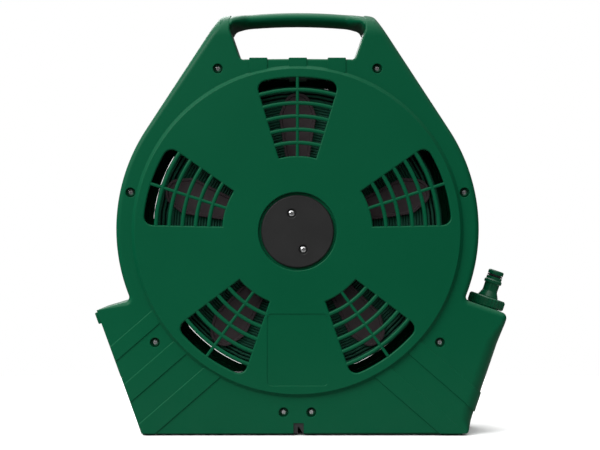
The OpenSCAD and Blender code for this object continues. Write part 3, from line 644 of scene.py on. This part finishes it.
def shell(water_side):
    """One complete shell, modelled on the -Y side."""
    disc = prism(circle(163.5, 0, 205, 160),
                 mm_levels((-40, -3), (-44.1, -3), (-45.2, -1.8), (-46.6, -0.4), *round_over(-48, 1.0, 4)))
    solid = carved(shell_solid(0), disc, "UNION")
    inside = [Vector((p.x, min(p.y, 366 * MM))) for p in drawn_in(outline, [WALL] * len(outline))]
    right_wall = moved_to(RIGHT_FOOT_X, 0, FOOT_Z) @ Matrix.Rotation(math.radians(18.82), 4, "Y")
    hollow = carved(prism(inside, mm_levels((2, 0), (-41, 0))),
                    block((-15, -60, -12), (5, -30.5, 112), right_wall))
    solid = carved(solid, hollow)
    solid = carved(solid, prism(circle(160.5, 0, 205, 96), mm_levels((-36, 0), (-45, 0))))
    hub_back, floor_back = (-39.6, -4) if water_side else (-36, -16)
    extra = [prism(circle(41.6, 0, 205), mm_levels((-47, 0), (hub_back, 0)))]
    extra += [prism(circle(6.5, x, z, 24), mm_levels((-42.5, 0), (0, 0))) for x, z in SCREW_SPOTS]
    extra += [block((-156, -38, 0), (-144, -14, 3)), block((145, -38, 0), (166, -14, 3)),
              block((-20, floor_back, 0), (20, 0, 3))]
    cuts = [windows(), hand_opening(),
            block((-2, -34, 14), (10, 1, 120), left_wall_place()),
            spun(in_mm([(0, -12), (14.1, -12), (14.1, 18), (0, 18)]), inlet_place()),
            round_hole(39.2, 0, 205, -42.6, -48, 1.0, 96, 3)]
    if water_side:
        label = soften([(-30.3, 50.4, 4), (30.3, 50.4, 4), (30.3, 122.4, 4), (-30.3, 122.4, 4)], 4, True)
        cuts += [prism(label, mm_levels((-47.4, 0.3), (-47.6, 0), (-48.05, -0.3), (-50, -0.3))),
                 block((-4.1, -45.5, -1), (6.2, -4, 12.7))]
        cuts += [round_hole(4.9, x, z, -38.5, -44, 0.7, 32, 2) for x, z in SCREW_SPOTS]
    else:
        cuts.append(prism(circle(26.05, 0, 205, 64), mm_levels((-30, 0), (-44, 0))))
    solid = carved(carved(solid, joined(*extra), "UNION"), joined(*cuts))
    ledges = []
    for x in (-39.3, 0.3, 39.4):
        ledge = soften([(x - 9.2, 364), (x + 9.2, 364), (x + 9.2, 379.3, 1), (x - 9.2, 379.3, 1)], 3, True)
        ledges.append(prism(ledge, mm_levels((-1, 0), *round_over(-44.9, 0.7, 2))))
    return joined(solid, foot_bands(), grille(), *ledges)


green = moulded_green("moulded_green")
for node, water_side in (("rear_shell", True), ("front_shell", False)):
    half = joined(shell(water_side), carved(grip_bar(), block((-90, 0, 380), (90, 60, 450))))
    crowned(half)
    if not water_side:
        turned(half, Matrix.Diagonal((1, -1, 1, 1)))
        bmesh.ops.reverse_faces(half, faces=half.faces)
    publish(node + "_body", half, "housing", green, [node])


# ---------------------------------------------------------------------------------------
# Housing screws
# Eight zinc-plated pan-head screws with a cross recess, sunk in round wells on the water
# side; they run through the bosses into the crank-side shell.
# ---------------------------------------------------------------------------------------
def plated_steel(name):
    """Bright zinc on steel: faint brushing and a few duller clouds."""
    material, shader, at = new_finish(name, metallic=1.0)
    cloud = noise(at, 260.0, 3.0)
    fine = noise(at, 2600.0, 2.0)
    feed(shader, Base_Color=tint(at, cloud, (0.5, 0.5, 0.5), (0.78, 0.78, 0.79)),
         Roughness=cloud * 0.18 + 0.22, Normal=bumps(at, fine, 0.2, 0.0001))
    return material


def pan_screw(place, head_r, head_h, length):
    """A pan-head screw: its head's top is at height 0 and its shank runs up the place's Z axis."""
    shank_r, cross = 1.7, 2.1
    profile = soften([(0, 0), (head_r * 0.55, 0.02, 0.4), (head_r, head_h * 0.45, 0.5),
                      (head_r, head_h, 0.1), (shank_r, head_h), (shank_r, length - 1.2), (0, length)], 3)
    screw = carved(spun(profile, None, 24), block((-cross, -0.42, -1), (cross, 0.42, head_h * 0.62)))
    screw = carved(screw, block((-0.42, -cross, -1), (0.42, cross, head_h * 0.61)))
    return turned(screw, place)


steel = plated_steel("plated_steel")
publish("housing_screw_set",
        joined(*[pan_screw(on_y(x, -41.1, z), 3.4, 2.6, 58.5) for x, z in SCREW_SPOTS]),
        "housing", steel, ["housing_screws"])


# ---------------------------------------------------------------------------------------
# Notch liner and mouth plate
# A black insert lines the small notch in the middle of the floor.  The left wall is closed
# by a green plate with a round flanged mouth, and a lip that hooks over its top edge.
# ---------------------------------------------------------------------------------------
def satin_black(name, dark=(0.012, 0.012, 0.012), light=(0.028, 0.028, 0.028), rough=0.42):
    """Black moulded plastic with a fine grain and slightly shinier clouds."""
    material, shader, at = new_finish(name, specular=0.4)
    cloud = noise(at, 30.0, 3.0)
    grit = noise(at, 1800.0, 2.0, 0.7)
    feed(shader, Base_Color=tint(at, cloud, dark, light), Roughness=cloud * 0.12 + rough,
         Normal=bumps(at, grit, 0.25, 0.00015))
    return material


def refinish(name, finish):
    """Gives a CAD part that stays a better material."""
    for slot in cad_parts[name].material_slots:
        slot.material = finish


black = satin_black("satin_black")
refinish("notch_liner", black)


def sideways(bm, place=Matrix()):
    """A part with its X and Y changed over, then put in its place."""
    turned(bm, place @ Matrix(((0, 1, 0, 0), (1, 0, 0, 0), (0, 0, 1, 0), (0, 0, 0, 1))))
    bmesh.ops.recalc_face_normals(bm, faces=bm.faces)
    return bm


def bevelled(bm, width, segments):
    """A part with all its edges bevelled, width in millimetres."""
    bmesh.ops.bevel(bm, geom=bm.edges[:], offset=width * MM, affect="EDGES", segments=segments,
                    profile=0.5, material=-1)
    return bm


def on_x(x, y, z):
    """A place whose Z axis runs towards +X."""
    return moved_to(x, y, z) @ Matrix.Rotation(math.radians(90), 4, "Y")


HOSE_Z = 57.3


def mouth_plate():
    """The plate in the left wall, with the flanged mouth that the hose leaves by."""
    place = left_wall_place()
    edge = soften([(-33.8, 14.2, 5), (33.8, 14.2, 5), (33.8, 119.8, 3), (-33.8, 119.8, 3)], 4, True)
    plate = sideways(prism(edge, mm_levels((5, 0), (0.7, 0), (0.3, 0.15), (0.1, 0.5))), place)
    lip = bevelled(block((-3.2, -41.5, 118), (0.4, 41.5, 130)), 1.2, 3)
    tube = spun(in_mm([(0, 0), (20.5, 0), (20.5, 21), (19.5, 22), (0, 22)]), on_x(-180, 0, HOSE_Z), 64)
    tube = carved(tube, block((-30, -50, 0), (0.1, 50, 115), place))
    bore = spun(in_mm([(0, -20), (18, -20), (18, 60), (0, 60)]), on_x(-190, 0, HOSE_Z), 64)
    body = carved(carved(plate, tube, "UNION"), bore)
    return joined(body, turned(lip, place))


publish("mouth_plate_body", mouth_plate(), "housing", green, ["mouth_plate"])


# ---------------------------------------------------------------------------------------
# Hose guide
# Two plain rollers on steel pins carry the flat hose out of the mouth; the pins sit in a
# black bracket that is clipped to the housing's floor.
# ---------------------------------------------------------------------------------------
refinish("guide_bracket", black)
refinish("guide_pins", steel)
for roller, body, side in (("upper_roller", "roller_above", 1), ("lower_roller", "roller_below", -1)):
    profile = soften([(2.06, 0), (4.6, 0, 0.3), (5, 0.6, 0.3), (5, 3, 0.2), (4.6, 3.4, 0.2),
                      (4.6, 4.4, 0.2), (5, 4.8, 0.2), (5, 34.8, 0.2), (4.6, 35.2, 0.2), (4.6, 36.2, 0.2),
                      (5, 36.6, 0.2), (5, 39, 0.3), (4.6, 39.6, 0.3), (2.06, 39.6)], 2)
    publish(roller + "_turned", spun(profile, on_y(-117, -19.8, HOSE_Z + 6.7 * side), 40, True), body,
            black, [roller])


# ---------------------------------------------------------------------------------------
# Hub cap with its two screws
# A flat black disc closes the well on the water side and holds the water spigot; its two
# screws sit in shallow round pockets.
# ---------------------------------------------------------------------------------------
CAP_SCREW_ANGLES = (-72, 108)


def hub_cap():
    """The disc with its rounded rim and two screw pockets."""
    rim = soften([(0, -45.8), (35.4, -45.8, 0.5), (36.5, -44.8, 0.5), (36.5, -42.62), (0, -42.62)], 4)
    cap = spun(rim, on_y(0, 0, 205), 96)
    pockets = []
    for angle in CAP_SCREW_ANGLES:
        pocket = in_mm([(0, -50), (5.1, -50), (5.1, -45.8), (4.7, -45.4), (4.7, -43.4), (0, -43.4)])
        pockets.append(spun(pocket, round_the_hub(angle) @ on_y(19, 0, 205), 32))
    return carved(cap, joined(*pockets))


cap_black = satin_black("cap_black", (0.009, 0.009, 0.009), (0.015, 0.015, 0.015), 0.42)
publish("hub_cap_disc", hub_cap(), "housing", cap_black, ["hub_cap"])
publish("hub_cap_screw_pair",
        joined(*[pan_screw(round_the_hub(a) @ on_y(19, -45.0, 205), 3.0, 1.6, 12.6)
                 for a in CAP_SCREW_ANGLES]),
        "housing", steel, ["hub_cap_screws"])


# ---------------------------------------------------------------------------------------
# Water way: spigot, feed hose with clips, elbow
# Black mouldings behind the disc that take the water from the shoulder to the hub; a short
# rubber hose joins them, held by two steel clips.
# ---------------------------------------------------------------------------------------
def black_rubber(name):
    """Matt black rubber with a slight bloom."""
    material, shader, at = new_finish(name, specular=0.3)
    bloom = noise(at, 90.0, 4.0)
    feed(shader, Base_Color=tint(at, bloom, (0.008, 0.008, 0.008), (0.02, 0.02, 0.021)),
         Roughness=bloom * 0.2 + 0.6, Normal=bumps(at, noise(at, 900.0, 2.0), 0.2, 0.0002))
    return material


rubber = black_rubber("black_rubber")
for name in ("water_spigot", "front_bush"):
    refinish(name, black)
for name in ("spigot_o_rings", "feed_hose", "nipple_o_ring", "inlet_washer", "coupler_o_ring"):
    refinish(name, rubber)
refinish("feed_clips", steel)


# ---------------------------------------------------------------------------------------
# Water inlet: elbow, union nut and nipple
# Green mouldings, smoother than the housing, square to the sloping shoulder.  The nut has a
# ribbed grip; the nipple has a flange, a tapered body, a snap collar and an O-ring.
# ---------------------------------------------------------------------------------------
inlet_green = satin_black("inlet_green", (0.0006, 0.07, 0.028), (0.001, 0.086, 0.036), 0.24)
refinish("inlet_elbow", inlet_green)


def ribs(count, low, high, width):
    """Grip ribs round a turned part."""
    turns = [Matrix.Rotation(math.radians(360 / count * k), 4, "Z") for k in range(count)]
    return [turned(bevelled(block(low, high), width, 2), turn) for turn in turns]


def union_nut():
    """The nut, with thirty ribs to grip."""
    profile = soften([(8.3, 8.3), (8.3, 3), (9.1, 3), (9.1, 0), (18.0, 0, 0.5), (18.5, 0.8, 0.4),
                      (18.5, 8.9, 0.8), (17.5, 9.9, 0.8), (10.8, 9.9, 0.3), (10.8, 8.3)], 2)
    grip_ribs = ribs(30, (16.6, -0.9, 0.9), (19.0, 0.9, 8.8), 0.6)
    return turned(joined(spun(profile, None, 96, True), *grip_ribs), inlet_place())


def nipple():
    """The nipple, hollow, from the flange in the nut out to its nose."""
    profile = soften([(5.5, 5.2), (9.8, 5.2, 0.3), (9.8, 6.9, 0.3), (7.2, 6.9, 0.3), (7.2, 8.35, 0.3),
                      (10.4, 8.35, 0.4), (10.4, 10.6, 0.5), (7.7, 16.4, 1.5), (7.7, 24.2, 0.6),
                      (9.1, 24.8, 0.3), (9.1, 27.4, 0.4), (8.05, 28.6, 0.3), (8.05, 31.5), (6.2, 31.5),
                      (6.2, 33.9), (8.05, 33.9), (8.05, 37.2, 0.6), (7.2, 38.3, 0.4), (5.5, 38.3, 0.4)], 3)
    return spun(profile, inlet_place(), 64, True)


publish("inlet_union_nut", union_nut(), "housing", inlet_green, ["inlet_collar"])
publish("inlet_nipple_body", nipple(), "housing", inlet_green, ["inlet_nipple"])


# ---------------------------------------------------------------------------------------
# Drum
# Two spoked side plates of brown-black plastic are screwed together through a core; each
# spoke is a broad petal with a rounded tip and a raised border.
# ---------------------------------------------------------------------------------------
drum_plastic = satin_black("drum_brown_black", (0.034, 0.024, 0.027), (0.06, 0.046, 0.05), 0.45)


def petal_outline():
    """One spoke on the +x side of the hub."""
    half = math.tan(math.radians(9.3))
    shoulder = 140 - (142 * math.sin(math.radians(9.3)) - 0.8)
    corners = [(20, -20 * half), (shoulder, -shoulder * half, 8), (141, -10, 13), (141, 10, 13),
               (shoulder, shoulder * half, 8), (20, 20 * half)]
    return soften([(x, z + 205, *r) for x, z, *r in corners], 5, True)


def side_plate(inner, outer):
    """A side plate of the drum between two depths; the border of each petal is raised outwards."""
    way = 1 if outer > inner else -1
    parts = [prism(circle(62, 0, 205, 96), mm_levels((inner, 0), (outer - way * 0.6, 0), (outer, 0.6)))]
    border = [(0.5, 0), (0.15, 0.15), (0.02, 0.5), (0.02, 2.6), (1.3, 3.4)]
    levels = [(inner + way * 0.02, 0)] + [(outer - way * down, inset) for down, inset in border]
    for angle in WINDOW_ANGLES:
        parts.append(turned(prism(petal_outline(), mm_levels(*levels)), round_the_hub(angle)))
    return parts


def boss(angle, low, high, radius):
    """A round boss, or the hole in it, for one of the screws that join the side plates."""
    ring_r = 42
    x = ring_r * math.cos(math.radians(angle))
    z = 205 + ring_r * math.sin(math.radians(angle))
    return prism(circle(radius, x, z, 24), mm_levels((low, 0), (high, 0)))


BOSS_ANGLES = [54 + 72 * k for k in range(5)]


def fused(parts):
    """All the parts joined into one skin."""
    whole = parts[0]
    for part in parts[1:]:
        whole = carved(whole, part, "UNION")
    return whole


plate = fused([*side_plate(-15, -18),
               spun(in_mm([(0, -18.1), (17.5, -18.1), (18, -17.6), (18, 14), (0, 14)]), on_y(0, 0, 205), 48),
               joined(*[boss(a, -16, -1, 5) for a in BOSS_ANGLES]),
               spun(in_mm([(0, 0), (7.8, 0), (7.8, 13), (0, 13)]), moved_to(0, 7, 219), 32)])
bores = fused([spun(in_mm([(0, -25), (12.06, -25), (12.06, 20), (0, 20)]), on_y(0, 0, 205), 48),
               spun(in_mm([(0, 0), (4, 0), (4, 19), (6.05, 19), (6.05, 40), (0, 40)]),
                    moved_to(0, 7, 205), 32)])
publish("rear_spider_plate", carved(plate, bores), "drum", drum_plastic, ["rear_spider"])

plate = fused([*side_plate(15, 18),
               spun(in_mm([(0, 15.2), (22, 15.2), (22, 49.4), (0, 49.4)]), on_y(0, 0, 205), 64),
               joined(*[boss(a, 0.1, 15.5, 5) for a in BOSS_ANGLES])])
publish("front_spider_plate",
        carved(plate, joined(spun(in_mm([(0, 10), (14, 10), (14, 60), (0, 60)]), on_y(0, 0, 205), 48),
                             *[boss(a, 16.2, 30, 3.6) for a in BOSS_ANGLES])),
        "drum", drum_plastic, ["front_spider"])
refinish("drum_core", drum_plastic)
refinish("drum_screws", steel)
refinish("start_fitting", black)
refinish("start_clamp", steel)


# ---------------------------------------------------------------------------------------
# Flat hose, wound on the drum
# A woven hose with a dark green rubber cover that lies flat when it is empty; about twenty
# metres in thirty-one turns, wound edge to edge on the core.
# ---------------------------------------------------------------------------------------
def hose_cover(name):
    """Dark green rubber over a woven jacket: fine diagonal ribs and worn, dusty patches."""
    material, shader, at = new_finish(name, specular=0.3)
    worn = noise(at, 40.0, 4.0)
    weave = at.node("ShaderNodeTexWave", {"bands_direction": "DIAGONAL"}, Vector=at, Scale=420.0,
                    Distortion=0.6)("Fac")
    feed(shader, Base_Color=tint(at, worn, (0.004, 0.05, 0.028), (0.01, 0.085, 0.05)),
         Roughness=worn * 0.2 + 0.5, Normal=bumps(at, weave, 0.3, 0.0002))
    return material


def hose_section(width, thickness):
    """The flat hose cut across: (across, through) points in millimetres."""
    edge = thickness / 2
    half = width / 2 - edge * 0.8
    return [(-half - edge * 0.8, 0), (-half - edge * 0.5, -edge * 0.75), (-half, -edge), (half, -edge),
            (half + edge * 0.5, -edge * 0.75), (half + edge * 0.8, 0), (half + edge * 0.5, edge * 0.75),
            (half, edge), (-half, edge), (-half - edge * 0.5, edge * 0.75)]


HOSE_WIDTH = 28
HOSE_THICK = 2.6


def wound_hose():
    """A spiral from the core out to the last turn, which ends at the bottom."""
    turns, steps = 31, 44
    core_r, coil_r = 58, 146
    bm = bmesh.new()
    r = core_r + 1.45
    face = bm.faces.new([bm.verts.new((0, y * MM, 205 * MM + (r + t) * MM))
                         for y, t in hose_section(HOSE_WIDTH, HOSE_THICK)])
    total = (turns - 1) * steps + steps // 2 - 1
    growth = (coil_r - 1.4 - r) / total
    step = Matrix.Translation(HUB) @ Matrix.Rotation(math.radians(360 / steps), 4, "Y")
    loose = 0.0
    for k in range(total):
        made = bmesh.ops.extrude_face_region(bm, geom=[face])["geom"]
        if k:
            bmesh.ops.delete(bm, geom=[face], context="FACES_ONLY")
        face = next(f for f in made if isinstance(f, bmesh.types.BMFace))
        # The last three turns stand a little off the ones below them
        last = max(0.0, (k + 1 - total + 3 * steps) / steps)
        around = math.sin(math.pi * (last % 1))
        bulge = 1.4 * math.ceil(last) * around ** 0.35 + 0.3 * math.sin(31 * last) * around * (last > 2)
        outwards = Vector((0, 0, (growth + bulge - loose) * MM))
        out = Matrix.Rotation(math.radians(360 / steps * k), 4, "Y") @ outwards
        loose = bulge
        bmesh.ops.transform(bm, matrix=step @ Matrix.Translation(out - HUB), verts=list(face.verts))
    bmesh.ops.recalc_face_normals(bm, faces=bm.faces)
    return bm


hose = hose_cover("hose_cover")
publish("hose_coil_wound", wound_hose(), "drum", hose, ["hose_coil"], 50)


def hose_end():
    """The free end: flat between the rollers, round where the coupler is crimped on."""
    bm = bmesh.new()
    flat = hose_section(HOSE_WIDTH, HOSE_THICK)
    angles = [180, 216, 250, 290, 324, 0, 36, 70, 110, 144]
    stations = [(x, 0.0) for x in (30, -2, -8, -14, -20, -26, -32, -38, -80, -118)]
    stations += [(-124, 0.02), (-127, 0.25), (-130, 0.62), (-133, 0.94), (-134.5, 1.0), (-146.9, 1.0)]
    loops = []
    for x, blend in stations:
        ring = []
        low = HOSE_Z - 2.6 * ease(x, -38, -2)
        for (y, t), angle in zip(flat, angles):
            round_y = 8.9 * math.cos(math.radians(angle))
            round_z = 8.9 * math.sin(math.radians(angle))
            across = y + (round_y - y) * blend
            up = low + t + (round_z - t) * blend
            ring.append(bm.verts.new((x * MM, across * MM, up * MM)))
        loops.append([bm.edges.new((ring[k - 1], ring[k])) for k in range(len(ring))])
        if len(loops) > 1:
            bmesh.ops.bridge_loops(bm, edges=loops[-2] + loops[-1])
        if len(loops) in (1, len(stations)):
            bm.faces.new(ring)
    bmesh.ops.recalc_face_normals(bm, faces=bm.faces)
    return bm


publish("hose_end_run", hose_end(), "hose_end", hose, ["hose_leadout"], 50)


# ---------------------------------------------------------------------------------------
# Quick connector on the hose's end
# A black crimped sleeve and coupler body; the green ring slides back to let go of a fitting.
# ---------------------------------------------------------------------------------------
def on_hose(x):
    """A place on the free end whose Z axis leaves the housing."""
    return moved_to(x, 0, HOSE_Z) @ Matrix.Rotation(math.radians(-90), 4, "Y")


profile = [(9.05, 0), (10.9, 0, 0.5), (11.5, 1, 0.4)]
for groove in (2.2, 4.6, 7.0):
    profile += [(11.5, groove, 0.2), (10.7, groove + 0.5, 0.2), (10.7, groove + 1.1, 0.2),
                (11.5, groove + 1.6, 0.2)]
profile += [(11.5, 10.9), (9.05, 10.9)]
publish("end_sleeve_crimped", spun(soften(profile, 2), on_hose(-136), 48, True), "hose_end", black,
        ["end_sleeve"])
profile = soften([(5.5, 0), (14.4, 0, 0.4), (15, 0.8, 0.4), (15, 3.4, 0.4), (14.4, 4, 0.2), (13, 4),
                  (13, 22.2), (14, 22.3, 0.2), (14.3, 22.8, 0.3), (14.3, 23.6, 0.3), (13.6, 24, 0.3),
                  (8.8, 24, 0.4), (8.1, 23.2, 0.3), (8.1, 13.6), (9.95, 13.6), (9.95, 11), (8.1, 11),
                  (8.1, 8), (5.5, 8)], 2)
publish("end_coupler_body", spun(profile, on_hose(-147), 64, True), "hose_end", black,
        ["end_coupler"])
profile = soften([(13.08, 0), (14.8, 0, 0.4), (15.5, 0.8, 0.4), (15.5, 12.2, 0.4), (14.8, 13, 0.4),
                  (13.08, 13)], 2)
grip_ring = joined(spun(profile, None, 64, True), *ribs(24, (15.0, -0.6, 1.5), (16.1, 0.6, 11.5), 0.35))
publish("coupler_ring_grip", turned(grip_ring, on_hose(-155)), "release_ring", green,
        ["coupler_ring"])


# ---------------------------------------------------------------------------------------
# Crank
# A green arm screwed to the drum's hollow journal, with a black cap; the knob turns on a
# steel spindle in a block that folds flat along the arm.
# ---------------------------------------------------------------------------------------
fold_axis = on_x(0, 70.5, 93)


def crank_screw_places(y):
    """The places of the three screws round the crank's hub."""
    return [round_the_hub(120 * k + 90) @ on_y(18, y, 205) for k in range(3)]


def crank_arm():
    """The arm: a round hub, a broad blade with a rounded tip, and two ears for the fold pin."""
    hub_disc = spun(soften([(0, 49.5), (36, 49.5), (36, 56.5, 0.9), (35, 57.5, 0.9), (0, 57.5)], 4),
                    on_y(0, 0, 205), 80)
    turn = [math.radians(a) for a in range(0, 181, 12)]
    tip = [(14 * math.cos(math.pi + t), 93 + 14 * math.sin(math.pi + t)) for t in turn]
    blade = prism(in_mm(tip + [(17.5, 190), (-17.5, 190)]),
                  mm_levels((49.6, 0), (56.2, 0), (57.0, 0.35), (57.4, 1.2), (57.4, 4.5), (56.2, 5.2)))
    ears = []
    for x in (-13.5, 9.5):
        ear = soften([(53.8, 86), (70.5, 86), (77.5, 86, 6.9), (77.5, 100, 6.9), (53.8, 100)], 5, True)
        ears.append(sideways(prism(ear, mm_levels((x, 0.5), (x + 0.5, 0), (x + 3.5, 0), (x + 4, 0.5)))))
    cuts = [spun(in_mm([(0, 54.5), (13, 54.5), (13, 70), (0, 70)]), on_y(0, 0, 205), 48)]
    cuts += [spun(in_mm([(0, 40), (2, 40), (2, 54.5), (3.6, 54.5), (3.6, 70), (0, 70)]), spot, 24)
             for spot in crank_screw_places(0)]
    cuts.append(spun(in_mm([(0, -20), (3, -20), (3, 20), (0, 20)]), fold_axis, 32))
    return carved(fused([hub_disc, blade, *ears]), joined(*cuts))


publish("crank_arm_body", crank_arm(), "drum", green, ["crank_arm"])
head_out = Matrix.Rotation(math.pi, 4, "X")
publish("crank_screw_set",
        joined(*[pan_screw(spot @ head_out, 3.3, 2.0, 18) for spot in crank_screw_places(56.6)]),
        "drum", steel, ["crank_screws"])
cap = soften([(0, 54.55), (12.9, 54.55), (12.9, 57.4, 0.7), (11.6, 58.1, 0.8), (0, 58.1)], 4)
publish("crank_cap_disc", spun(cap, on_y(0, 0, 205), 64), "drum", cap_black, ["crank_cap"])
pin = soften([(0, -14), (2.3, -14, 0.4), (3, -13.3, 0.3), (3, 13.3, 0.3), (2.3, 14, 0.4), (0, 14)], 3)
publish("fold_pin_riveted", spun(pin, fold_axis, 32), "drum", steel, ["fold_pin"])
carrier = soften([(63.5, 86, 6.9), (77.5, 86, 6.9), (77.5, 106, 0.8), (63.5, 106, 0.8)], 6, True)
carrier = sideways(prism(carrier, mm_levels((-9.2, 0.5), (-8.7, 0), (8.7, 0), (9.2, 0.5))))
holes = joined(spun(in_mm([(0, -20), (3.06, -20), (3.06, 20), (0, 20)]), fold_axis, 32),
               spun(in_mm([(0, 5), (5, 5), (5, 30), (0, 30)]), moved_to(0, 70.5, 93), 32))
publish("fold_block_body", carved(carrier, holes), "fold", black, ["fold_block"])
refinish("knob_spindle", steel)
knob_place = moved_to(0, 70.5, 107)
knob = soften([(5.06, 0), (9.6, 0, 0.8), (10.6, 2, 1.2), (11.9, 8, 3), (11.2, 22, 12), (11.4, 38, 10),
               (12, 50, 4), (10.6, 56.6, 2), (9.4, 57.8, 0.8), (5.06, 57.8)], 6)
publish("crank_knob_grip", spun(knob, knob_place, 64, True), "knob", green, ["crank_knob"])
washer = soften([(0, 58), (7.6, 58, 0.2), (8, 58.3, 0.2), (8, 58.9, 0.2), (7.6, 59.2, 0.2), (0, 59.2)], 2)
publish("knob_screw_washer",
        joined(spun(washer, knob_place, 40),
               pan_screw(knob_place @ moved_to(0, 0, 61.2) @ head_out, 4, 2.05, 15)),
        "fold", steel, ["knob_screw"])
